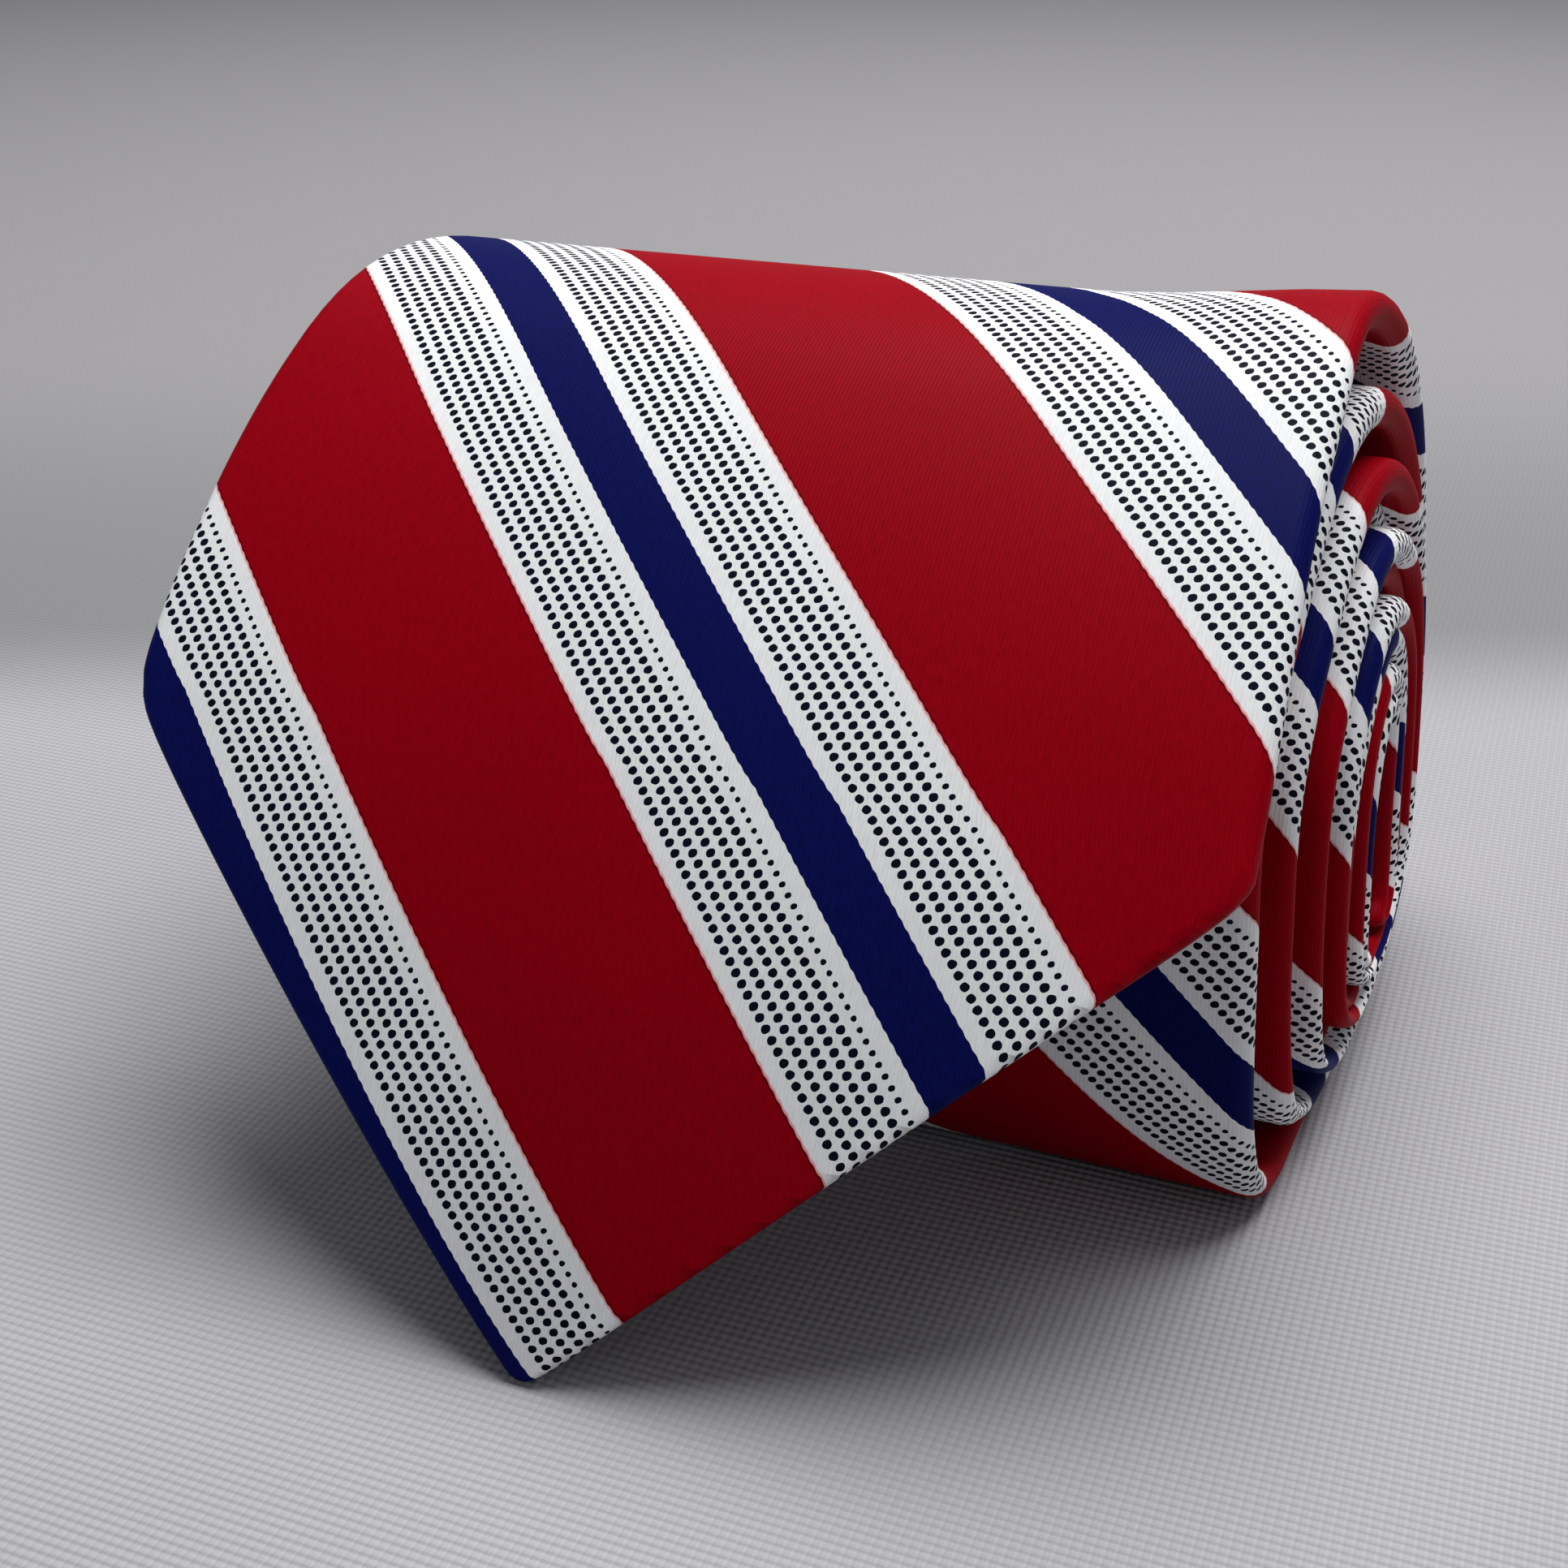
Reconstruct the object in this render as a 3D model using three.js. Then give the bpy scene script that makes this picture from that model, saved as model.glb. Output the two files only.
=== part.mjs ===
// A striped silk necktie, folded in half back to back and rolled up from the fold, with its
// pointed wide end left leaning out in front. Millimetres, +Z up. X runs across the tie, along the
// roll, and Y towards the back of the roll. It stands on Z = 0, and the origin is under the roll.
// s is the distance along the tie from the wide tip, u is across it, and depth goes from the
// front silk towards the back silk.
import * as THREE from "three";

// ---- Cloth ----
const silkThickness = 0.35;
const interliningThickness = 0.6;
const plyClearance = 0.2; // between the interlining and the silk on either side of it
const foldThickness = 0.5; // silk doubled round the long edges
const sideClearance = 0.3; // between pieces that lie edge to edge
const tippingClearance = 0.5; // round a lining, inside the hems
const tieThickness = 2 * silkThickness + 2 * plyClearance + interliningThickness;

// ---- Outline of the finished tie ----
const tieLength = 1516;
const bladeWidth = 90;
const neckWidth = 38;
const tailWidth = 45;
const bladeShoulder = bladeWidth / 2; // the points are square, so a shoulder is half a width in
const tailShoulder = tailWidth / 2;
const taperEnd = 0.52 * tieLength; // the blade has narrowed to the neck here
const neckEnd = 0.66 * tieLength;
const bladeSeam = 0.38 * tieLength; // the three lengths of silk are joined here
const neckSeam = 0.7 * tieLength;
const seamClearance = 0.3;
const hemWidth = 14; // of silk turned onto the back, where the back is open
const hemTurn = 0.5; // where the hems start to run together, as a share of the way to their meeting
const slitWidth = 1.2; // between the hems, where the slip stitch runs
const threadWidth = 0.6;
const blunt = 1.2; // how far short of its sharp corner a point is cut off
const bladeTippingShare = 0.88; // of the open back that its lining reaches up
const tailTippingShare = 0.8;

// ---- The roll ----
const coreHalfDepth = 5.25; // of the innermost turn, where the fold lies
const coreHalfHeight = 12.2;
const layClearance = 0.22; // over and under each half of the tie, where the turns lie on each other
const sideLooseness = 1; // and at the sides of the roll
const leaveAngle = -34; // where the wide end leaves the roll, in degrees from the top
const bedAngle = 10; // half of the flat that the roll stands on
const stationAngle = 17; // the stations of every turn lie at the same angles
const squareness = 0.1; // how far the turns are from having straight sides; 0 is quite straight
const frontSag = 5.8; // how far the outer turn sags forward, below where the wide end leaves
const sagCorner = 0.34; // how square the outer turn is where it sags onto the bed; 1 is round
const sagStart = 34; // degrees in front of the top
const sagFull = 80;
const flapReach = 49.5; // how far the point lies in front of where the wide end leaves
const leanPull = 30; // pulls of the curve that the wide end leans out in
const leavePull = 21;
const tipLean = 67;
const flapStations = 13;
const foldStations = 8;
const closest = 0.05; // a station this near to the end of a piece is left out

// ---- Where the right-hand edge of each turn lies, across the tie ----
const edgeAtShoulder = 43;
const edgeAtTop = 42;
const edgeOfTurns = 45.8;
const edgeAtFold = 50;
const tailEdge = 41;
const edgeSettled = 1.5; // lengths of the leaning end by which its edge lies with the other turns
const endSkew = 0.07; // how much further out the turns lie towards the back of the roll
const endLean = 0.07; // how much further in they lie towards its top
const endLeanFrom = 8; // height above which they do

// ---- Trimmings on the back ----
const keeperAngle = 268; // places round the outer turn, where the sides of the roll leave room
const labelAngle = 75;
const bladeTackAngle = 112;
const tailTackAngle = 98;
const keeperLength = 40;
const keeperWidth = 12;
const labelLength = 16;
const labelWidth = 18;
const trimThickness = 0.3;
const trimClearance = 0.25;
const tackLength = 9;
const tackWidth = 1.6;
const tackInset = 3;
const stitchWidth = 1.2; // of the stitches that hold each end of a trimming

const deg = Math.PI / 180;

function smoothBetween(value, low, high) {
  const share = Math.min(1, Math.max(0, (value - low) / (high - low)));
  return share * share * (3 - 2 * share);
}

function blend(from, to, share) {
  return from + (to - from) * share;
}

// ---- The tie's outline, as functions of s ----
function halfWidth(s) {
  const taper = blend(bladeWidth, neckWidth, (s - bladeShoulder) / (taperEnd - bladeShoulder));
  const flare = blend(neckWidth, tailWidth, (s - neckEnd) / (tieLength - tailShoulder - neckEnd));
  const body = Math.max(s < neckEnd ? Math.max(taper, neckWidth) : flare, neckWidth) / 2;
  return Math.min(body, s, tieLength - s);
}

function hemAt(s) {
  const open = halfWidth(s) - slitWidth / 2;
  const opening = s < tieLength / 2 ? bladeOpening : tailOpening;
  const fromPoint = s < tieLength / 2 ? s : tieLength - s;
  const closing = smoothBetween(fromPoint, opening * hemTurn, opening);
  return Math.min(open, blend(hemWidth, open, closing));
}

// ---- The path of the front silk ----
const bedCos = Math.cos(bedAngle * deg);
const turnPitchY = 2 * (tieThickness + sideLooseness); // a turn holds both halves of the tie
const turnPitchZ = (2 * (tieThickness + layClearance)) / bedCos;

// Full turns wound, standing still across the flat so that the flat is level.
function turnsAt(angle) {
  const whole = Math.floor((angle + 180) / 360);
  const rest = angle - 360 * whole;
  const held = Math.abs(rest) > 180 - bedAngle ? Math.sign(rest) * 180 : (rest * 180) / (180 - bedAngle);
  return whole + held / 360;
}

// Half of the room that a turn leaves beside its two halves.
function restGap(angle) {
  return blend(layClearance, sideLooseness, Math.sin(angle * deg) ** 2);
}

// At each corner of a line, the vector that carries it to a parallel line one unit to the right.
function sidesteps(points) {
  const normals = points.slice(1).map((p, i) => {
    const along = p.clone().sub(points[i]).normalize();
    return new THREE.Vector2(along.y, -along.x);
  });
  return points.map((p, i) => {
    const before = normals[Math.max(0, i - 1)];
    const after = normals[Math.min(normals.length - 1, i)];
    return before.clone().add(after).divideScalar(1 + before.dot(after));
  });
}

// The angles of the wound stations, from the one after the wide end leaves to the fold.
function woundAngles(count) {
  const angles = [];
  let angle = leaveAngle;
  for (let i = 0; i < count; i++) {
    const beforeFlat = Math.abs(((angle % 360) + 360) % 360 - (180 - bedAngle)) < 1e-6;
    angle += beforeFlat ? 2 * bedAngle : stationAngle;
    angles.push(angle);
  }
  return angles;
}

// The whole path, out along the wide half, round the fold and back along the narrow half, for a
// roll with so many stations from the fold out to where the wide end leaves.
function rolledPath(count) {
  const angles = woundAngles(count);
  const outerTurns = turnsAt(angles.at(-1));
  const outerHalfDepth = coreHalfDepth + turnPitchY * outerTurns; // at the top of the outer turn
  const outerHalfHeight = coreHalfHeight + turnPitchZ * outerTurns;
  const centreZ = bedCos * (outerHalfHeight - turnPitchZ / 2);
  const leaveHalfDepth = outerHalfDepth - turnPitchY * turnsAt(leaveAngle);
  const centreY = flapReach - leaveHalfDepth * Math.sin(leaveAngle * deg);

  const onRoll = (angle) => {
    const halfDepth = outerHalfDepth - turnPitchY * turnsAt(angle);
    const halfHeight = outerHalfHeight - turnPitchZ * turnsAt(angle);
    const inFront = 180 - (((angle % 360) + 540) % 360);
    const size = (halfDepth - coreHalfDepth) / (outerHalfDepth - coreHalfDepth);
    const sag = frontSag * size * smoothBetween(inFront, sagStart, sagFull);
    const corner = inFront > 90 ? blend(1, sagCorner, size) : 1;
    const across = Math.sin(angle * deg);
    const squared = Math.max(Math.cos(angle * deg), -bedCos);
    const rise = corner < 1 ? -bedCos * Math.pow(-squared / bedCos, corner) : squared;
    const upright = (rise * Math.sqrt(1 + squareness)) / Math.sqrt(rise * rise + squareness);
    return new THREE.Vector2(
      centreY + (halfDepth + sag) * Math.sign(across) * Math.pow(Math.abs(across), corner),
      centreZ + (halfHeight - halfDepth) * upright + halfDepth * rise,
    );
  };

  const leave = onRoll(leaveAngle);
  const heading = onRoll(leaveAngle + 1).sub(leave).normalize();
  const flap = new THREE.CubicBezierCurve(
    new THREE.Vector2(0, 0),
    new THREE.Vector2(leanPull * Math.cos(tipLean * deg), leanPull * Math.sin(tipLean * deg)),
    leave.clone().addScaledVector(heading, -leavePull),
    leave,
  ).getSpacedPoints(flapStations);
  const wide = [...flap, ...angles.map(onRoll)];
  const steps = sidesteps(wide);

  const last = wide.length - 1;
  const foldRadius = tieThickness + restGap(angles.at(-1)) / 2;
  const inward = steps[last].clone().normalize();
  const onward = new THREE.Vector2(-inward.y, inward.x);
  const pivot = wide[last].clone().addScaledVector(inward, foldRadius);
  const fold = [];
  for (let i = 1; i < foldStations; i++) {
    const turned = (i / foldStations) * Math.PI;
    const across = inward.clone().multiplyScalar(-foldRadius * Math.cos(turned));
    fold.push(pivot.clone().add(across).addScaledVector(onward, foldRadius * Math.sin(turned)));
  }
  const narrow = angles.map((angle, i) => {
    const [point, step] = [wide[flap.length + i], steps[flap.length + i]];
    return point.clone().addScaledVector(step, 2 * tieThickness + restGap(angle));
  });
  return { points: [...wide, ...fold, ...narrow.reverse()], angles, centreY, wideCount: wide.length };
}

function lengthsAlong(points) {
  const lengths = [0];
  points.slice(1).forEach((p, i) => lengths.push(lengths[i] + p.distanceTo(points[i])));
  return lengths;
}

function total(path) {
  return lengthsAlong(path.points).at(-1);
}

// The smallest roll, of a turn or more, that takes the whole tie.
let rolled = null;
for (let count = Math.ceil(360 / stationAngle); rolled === null || total(rolled) < tieLength; count++) {
  rolled = rolledPath(count);
}

const pathSteps = sidesteps(rolled.points);
const lengths = lengthsAlong(rolled.points);
const stations = rolled.points.map((point, i) => ({ s: lengths[i], point, step: pathSteps[i] }));
const leaveLength = stations[flapStations].s;
const foldLength = stations[rolled.wideCount - 1].s;

// How far along the wide half, and along the narrow half, an angle of the outer turn lies.
function lengthsAtAngle(angle) {
  const after = rolled.angles.findIndex((a) => a > angle);
  const share = (angle - rolled.angles[after - 1]) / (rolled.angles[after] - rolled.angles[after - 1]);
  const wideIndex = flapStations + after;
  const narrowIndex = lengths.length - after;
  return {
    wide: blend(lengths[wideIndex], lengths[wideIndex + 1], share),
    narrow: blend(lengths[narrowIndex], lengths[narrowIndex - 1], share),
  };
}

function stationAt(s) {
  const after = stations.findIndex((station) => station.s > s);
  const [a, b] = [stations[after - 1], stations[after]];
  const share = (s - a.s) / (b.s - a.s);
  return { s, point: a.point.clone().lerp(b.point, share), step: a.step.clone().lerp(b.step, share) };
}

// The outline turns a corner at each shoulder, so every piece has a station there.
for (const corner of [bladeShoulder, tieLength - tailShoulder]) {
  stations.push(stationAt(corner));
  stations.sort((a, b) => a.s - b.s);
}

function stationsBetween(from, to) {
  const inside = stations.filter((station) => station.s > from + closest && station.s < to - closest);
  return [stationAt(from), ...inside, stationAt(to)];
}

const keeperPlace = lengthsAtAngle(keeperAngle).wide;
const labelPlace = lengthsAtAngle(labelAngle).wide;
const bladeTackPlace = lengthsAtAngle(bladeTackAngle).wide;
const tailTackPlace = lengthsAtAngle(tailTackAngle).narrow;
const bladeOpening = bladeTackPlace - tackInset; // how far from each point the hems meet
const tailOpening = tieLength - tailTackPlace - tackInset;

function rightEdge(s) {
  const nearTop = blend(edgeAtShoulder, edgeAtTop, smoothBetween(s, bladeShoulder, leaveLength));
  const inWide = blend(edgeOfTurns, edgeAtFold, smoothBetween(s, leaveLength, foldLength));
  const inBoth = blend(inWide, tailEdge, smoothBetween(s, foldLength, tieLength - tailShoulder));
  const { point } = stationAt(s);
  const skewed = inBoth + endSkew * (point.x - rolled.centreY) - endLean * (point.y - endLeanFrom);
  return blend(nearTop, skewed, smoothBetween(s, leaveLength, edgeSettled * leaveLength));
}

// The tie's middle, from its edge where it has its full width.
function middleAt(s) {
  const full = Math.min(Math.max(s, bladeShoulder), tieLength - tailShoulder);
  return rightEdge(full) - halfWidth(full);
}

// ---- Solids ----
// A closed solid through one ring of [u, depth] corners for each station.
function loft(path, ringAt) {
  const rings = path.map((station) => ringAt(station.s));
  const size = rings[0].length;
  const positions = [];
  path.forEach((station, i) =>
    rings[i].forEach(([u, depth]) =>
      positions.push(
        middleAt(station.s) + u,
        station.point.x + station.step.x * depth,
        station.point.y + station.step.y * depth,
      ),
    ),
  );
  const index = [];
  for (let i = 0; i + 1 < path.length; i++) {
    for (let k = 0; k < size; k++) {
      const [a, b] = [i * size + k, i * size + ((k + 1) % size)];
      index.push(a, b, b + size, a, b + size, a + size);
    }
  }
  const cap = (ring, offset, flip) => {
    const outline = ring.map(([u, depth]) => new THREE.Vector2(u, depth));
    for (const [a, b, c] of THREE.ShapeUtils.triangulateShape(outline, [])) {
      index.push(offset + a, offset + (flip ? c : b), offset + (flip ? b : c));
    }
  };
  cap(rings[0], 0, true);
  cap(rings.at(-1), (path.length - 1) * size, false);
  const geometry = new THREE.BufferGeometry();
  geometry.setAttribute("position", new THREE.Float32BufferAttribute(positions, 3));
  geometry.setIndex(index);
  geometry.computeVertexNormals();
  return geometry;
}

function strip(halfAcross, from, to) {
  return [
    [-halfAcross, from],
    [halfAcross, from],
    [halfAcross, to],
    [-halfAcross, to],
  ];
}

// Silk round both edges and onto the back, as a flat C with the slit or the opening behind.
function silkRing(s) {
  const outer = halfWidth(s);
  const inner = outer - foldThickness;
  const hem = outer - hemAt(s);
  const [front, back] = [silkThickness, tieThickness - silkThickness];
  return [
    [-outer, 0],
    [outer, 0],
    [outer, tieThickness],
    [hem, tieThickness],
    [hem, back],
    [inner, back],
    [inner, front],
    [-inner, front],
    [-inner, back],
    [-hem, back],
    [-hem, tieThickness],
    [-outer, tieThickness],
  ];
}

function interliningRing(s) {
  const start = silkThickness + plyClearance;
  return strip(halfWidth(s) - foldThickness - sideClearance, start, start + interliningThickness);
}

function tippingRing(s) {
  const halfAcross = halfWidth(s) - hemAt(s) - tippingClearance;
  return strip(halfAcross, tieThickness - silkThickness, tieThickness);
}

function threadRing() {
  return strip(threadWidth / 2, tieThickness - silkThickness, tieThickness);
}

function onBack(length) {
  const start = tieThickness + trimClearance;
  return () => strip(length / 2, start, start + trimThickness);
}

// A line of stitches beside the end of a trimming; side is -1 on the left and 1 on the right.
function besideTrim(length, side) {
  const start = tieThickness + trimClearance;
  const near = length / 2 + sideClearance;
  const [low, high] = side > 0 ? [near, near + stitchWidth] : [-near - stitchWidth, -near];
  return () => [
    [low, start],
    [high, start],
    [high, start + trimThickness],
    [low, start + trimThickness],
  ];
}

const necktie = new THREE.Group();
necktie.name = "necktie";

function add(name, geometry, colour, roughness) {
  const material = new THREE.MeshStandardMaterial({ color: colour, roughness, metalness: 0 });
  const mesh = new THREE.Mesh(geometry, material);
  mesh.name = name;
  necktie.add(mesh);
}

const redSilk = 0x9a0718;
const wool = 0xe9e4d8;
const navyLining = 0x141d4d;
const whiteThread = 0xf0efec;
const blankLabel = 0xf4f4f2;
const satin = 0.45; // roughness of each kind of cloth
const brushed = 0.95;
const twill = 0.5;
const matt = 0.8;
const halfGap = seamClearance / 2; // at the seams, and where the wide end is hinged to the roll

// The leaning wide end, from its point to the line where it leaves the roll.
const flapEnd = leaveLength - halfGap;
const rollStart = leaveLength + halfGap;
const plyStart = blunt + foldThickness + 2 * sideClearance;
const tippingStart = hemWidth + tippingClearance + blunt;
add("flap_silk", loft(stationsBetween(blunt, flapEnd), silkRing), redSilk, satin);
add("flap_interlining", loft(stationsBetween(plyStart, flapEnd), interliningRing), wool, brushed);
add("flap_tipping", loft(stationsBetween(tippingStart, flapEnd), tippingRing), navyLining, twill);

// The three lengths of silk in the roll, joined at two seams.
const seams = [
  ["blade_silk", rollStart, bladeSeam - halfGap],
  ["neck_silk", bladeSeam + halfGap, neckSeam - halfGap],
  ["tail_silk", neckSeam + halfGap, tieLength - blunt],
];
for (const [name, from, to] of seams) {
  add(name, loft(stationsBetween(from, to), silkRing), redSilk, satin);
}

// One length of interlining runs through all three.
add("interlining", loft(stationsBetween(rollStart, tieLength - plyStart), interliningRing), wool, brushed);

// Linings behind the two open ends.
const bladeTippingEnd = bladeOpening * bladeTippingShare;
const tailTippingFrom = tieLength - tailOpening * tailTippingShare;
const tailTippingTo = tieLength - tippingStart;
add("blade_tipping", loft(stationsBetween(rollStart, bladeTippingEnd), tippingRing), navyLining, twill);
add("tail_tipping", loft(stationsBetween(tailTippingFrom, tailTippingTo), tippingRing), navyLining, twill);

// The slip stitch closes the back, with a bar tack over each of its ends.
const stitchFrom = bladeOpening;
const stitchTo = tieLength - tailOpening;
add("slip_stitch", loft(stationsBetween(stitchFrom, stitchTo), threadRing), whiteThread, matt);
const tacks = [
  ["blade_bar_tack", bladeTackPlace],
  ["tail_bar_tack", tailTackPlace],
];
for (const [name, place] of tacks) {
  const path = stationsBetween(place - tackWidth / 2, place + tackWidth / 2);
  add(name, loft(path, onBack(tackLength)), whiteThread, matt);
}

// The keeper that the narrow end slips through, and a blank care label, each stitched at its ends.
const trims = [
  ["keeper_loop", "keeper_stitches", keeperPlace, keeperLength, keeperWidth, redSilk, satin],
  ["care_label", "label_stitches", labelPlace, labelLength, labelWidth, blankLabel, matt],
];
for (const [name, stitches, place, length, width, colour, roughness] of trims) {
  const path = stationsBetween(place - width / 2, place + width / 2);
  add(name, loft(path, onBack(length)), colour, roughness);
  add(`${stitches}_left`, loft(path, besideTrim(length, -1)), whiteThread, matt);
  add(`${stitches}_right`, loft(path, besideTrim(length, 1)), whiteThread, matt);
}

// The origin is under the middle of the roll, in the flat that it stands on.
necktie.position.y = -rolled.centreY;

export default necktie;
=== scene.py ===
import math

import bpy
import numpy as np
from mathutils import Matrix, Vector


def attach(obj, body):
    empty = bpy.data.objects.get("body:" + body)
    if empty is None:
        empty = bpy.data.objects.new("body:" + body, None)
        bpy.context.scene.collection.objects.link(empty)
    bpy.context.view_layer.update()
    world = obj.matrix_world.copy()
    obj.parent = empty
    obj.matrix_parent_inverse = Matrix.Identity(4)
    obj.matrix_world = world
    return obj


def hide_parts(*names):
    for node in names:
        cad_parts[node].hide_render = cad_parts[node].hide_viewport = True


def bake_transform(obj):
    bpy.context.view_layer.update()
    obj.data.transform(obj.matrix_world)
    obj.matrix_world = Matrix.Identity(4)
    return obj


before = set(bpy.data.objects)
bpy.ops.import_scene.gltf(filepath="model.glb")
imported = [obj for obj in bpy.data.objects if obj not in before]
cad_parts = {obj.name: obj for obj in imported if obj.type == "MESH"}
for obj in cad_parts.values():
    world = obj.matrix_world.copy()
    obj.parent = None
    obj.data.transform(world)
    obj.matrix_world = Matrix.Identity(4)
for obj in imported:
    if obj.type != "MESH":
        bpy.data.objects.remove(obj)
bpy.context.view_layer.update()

# ==== The silk ====
# Three lengths of striped silk, cut on the bias, sewn end to end, and folded round a lining of
# wool until their edges meet behind. The tie is folded in half back to back and rolled up from
# the fold. The widest length is in two pieces, which meet where it leaves the roll.
TIE_LENGTH = 1516.0
CLOTH_THICKNESS = 1.7
SILK_THICKNESS = 0.32

# ---- How the tie is rolled ----
# Angles run in degrees from the top of the roll, over its back, with 360 more for each turn.
# The turns are upright ovals. They lie flat on the bed, and in front they sag outward and have
# a squarer corner at the bottom, the more so the further out they are. The wide end leaves them
# near the top and leans out in front, down to the table. Lengths are in millimetres.
FOLD_HALF_DEPTH, FOLD_HALF_HEIGHT = 5.25, 12.2
TURN_DEPTH, TURN_HEIGHT = 5.4, 3.8992
SLACK_OVER, SLACK_BESIDE = 0.22, 1.0
LEAVE_ANGLE, FOLD_ANGLE, BED_ANGLE = -34.0, 1953.0, 10.0
ANGLE_STEP = 4.0
SQUARENESS = 0.1
SAG, SAG_CORNER = 5.8, 0.34
SAG_START, SAG_FULL = 34.0, 80.0
LEAN_REACH, LEAN_PULL, LEAVE_PULL, TIP_LEAN = 49.5, 30.0, 21.0, 67.0
LEAN_STEPS, FOLD_STEPS = 40, 13


def smooth(value, low, high):
    share = np.clip((value - low) / (high - low), 0, 1)
    return share * share * (3 - 2 * share)


def turns_wound(angle):
    """Turns from the top of the outermost one. The roll grows no wider over its flat bed."""
    whole = np.floor((angle + 180) / 360)
    rest = angle - 360 * whole
    free = 180 - BED_ANGLE
    held = np.where(np.abs(rest) > free, np.sign(rest) * 180, rest * 180 / free)
    return whole + held / 360


def slack(angle):
    """The room between the two halves of the tie, wider beside the roll than over it."""
    return SLACK_OVER + (SLACK_BESIDE - SLACK_OVER) * np.sin(np.radians(angle)) ** 2


def on_roll(angle):
    """Where the front face of the wide half lies, as y and z, at an angle round the roll."""
    inner = turns_wound(np.array(FOLD_ANGLE)) - turns_wound(angle)
    most = float(turns_wound(np.array(FOLD_ANGLE)))
    half_depth = FOLD_HALF_DEPTH + TURN_DEPTH * inner
    half_height = FOLD_HALF_HEIGHT + TURN_HEIGHT * inner
    bed = math.cos(math.radians(BED_ANGLE))
    centre = bed * (FOLD_HALF_HEIGHT + TURN_HEIGHT * (most - 0.5))
    in_front = 180 - (angle + 540) % 360
    sag = SAG * inner / most * smooth(in_front, SAG_START, SAG_FULL)
    corner = np.where(in_front > 90, 1 + (SAG_CORNER - 1) * inner / most, 1.0)
    across = np.sin(np.radians(angle))
    rise = np.maximum(np.cos(np.radians(angle)), -bed)
    rise = np.where(corner < 1, -bed * np.maximum(-rise / bed, 0) ** corner, rise)
    upright = rise * math.sqrt(1 + SQUARENESS) / np.sqrt(rise ** 2 + SQUARENESS)
    y = (half_depth + sag) * np.sign(across) * np.abs(across) ** corner
    return np.stack([y, centre + (half_height - half_depth) * upright + half_depth * rise], -1)


def inward_of(points):
    """At each corner of a line, the step that carries it to a parallel line one unit inward."""
    along = np.diff(points, axis=0)
    along /= np.linalg.norm(along, axis=1)[:, None]
    normal = np.stack([along[:, 1], -along[:, 0]], -1)
    before, after = np.vstack([normal[:1], normal]), np.vstack([normal, normal[-1:]])
    return (before + after) / (1 + (before * after).sum(1))[:, None]


# The turns of the wide half, from where it leaves the roll to the fold.
angles = np.arange(LEAVE_ANGLE, FOLD_ANGLE, ANGLE_STEP)
turns = on_roll(angles)
leave = turns[0]
heading = turns[1] - turns[0]
heading = heading / np.linalg.norm(heading)

# The wide end, from its tip on the table up to the roll, as one curve between two pulls.
lean = math.radians(TIP_LEAN)
tip = np.array([leave[0] - LEAN_REACH, 0.0])
tip_pull = tip + LEAN_PULL * np.array([math.cos(lean), math.sin(lean)])
leave_pull = leave - LEAVE_PULL * heading
share = np.linspace(0, 1, LEAN_STEPS + 1)[:-1, None]
leaning = sum(
    count * (1 - share) ** (3 - i) * share ** i * point
    for i, (count, point) in enumerate(zip((1, 3, 3, 1), (tip, tip_pull, leave_pull, leave)))
)
wide = np.vstack([leaning, turns])
inward = inward_of(wide)

# The fold is half a circle, and the narrow half comes back under the wide one.
fold_radius = CLOTH_THICKNESS + slack(FOLD_ANGLE) / 2
bend = np.linspace(0, math.pi, FOLD_STEPS + 1)[1:-1, None]
last_inward = inward[-1] / np.linalg.norm(inward[-1])
onward = np.array([-last_inward[1], last_inward[0]])
fold_line = wide[-1] + fold_radius * ((1 - np.cos(bend)) * last_inward + np.sin(bend) * onward)
beneath = 2 * CLOTH_THICKNESS + slack(angles)[:, None]
narrow = (turns + inward[len(leaning):] * beneath)[::-1]

line = np.vstack([wide, fold_line, narrow])
line_inward = inward_of(line)
steps = np.linalg.norm(np.diff(line, axis=0), axis=1)
reach = np.concatenate([[0], np.cumsum(steps)])
leave_reach = reach[len(leaning)]
fold_reach = reach[len(wide) - 1]


def wide_place(angle):
    """How far from the wide tip the wide half passes an angle of the roll."""
    return float(np.interp(angle, angles, reach[len(leaning):len(wide)]))


def narrow_place(angle):
    """How far from the wide tip the narrow half passes an angle of the roll."""
    return float(np.interp(-angle, -angles[::-1], reach[-len(angles):]))


# ---- How wide it is, and where its edges lie ----
# A square point 90 mm wide tapers to a neck, and the narrow end has a square point too. The
# right-hand edges of the turns are pushed nearly level, a little further out low down and
# behind. EDGE values are distances from the middle of the roll.
BLADE_WIDTH, NECK_WIDTH, TAIL_WIDTH = 90.0, 38.0, 45.0
TAPER_END, NECK_END = 0.52 * TIE_LENGTH, 0.66 * TIE_LENGTH
TAIL_POINT = 22.0
POINT_ROUNDING, SHOULDER_ROUNDING = 1.1, 2.2
NEAREST_TIP = 0.02
EDGE_OF_BLADE, EDGE_AT_LEAVE, EDGE_OF_TURNS = 43.0, 42.0, 45.8
EDGE_AT_FOLD, EDGE_OF_TAIL = 50.0, 41.0
END_SKEW, END_LEAN, END_LEAN_FROM = 0.07, 0.07, 8.0
IN_ROLL_BY = 1.5


def shift(start, end, share):
    return start + (end - start) * share


def in_roll(s):
    """0 on the wide end that leans out, rising to 1 a little way into the roll."""
    return smooth(s, leave_reach, IN_ROLL_BY * leave_reach)


def softer_least(a, b, rounding):
    return 0.5 * (a + b - np.sqrt((a - b) ** 2 + rounding ** 2))


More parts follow.
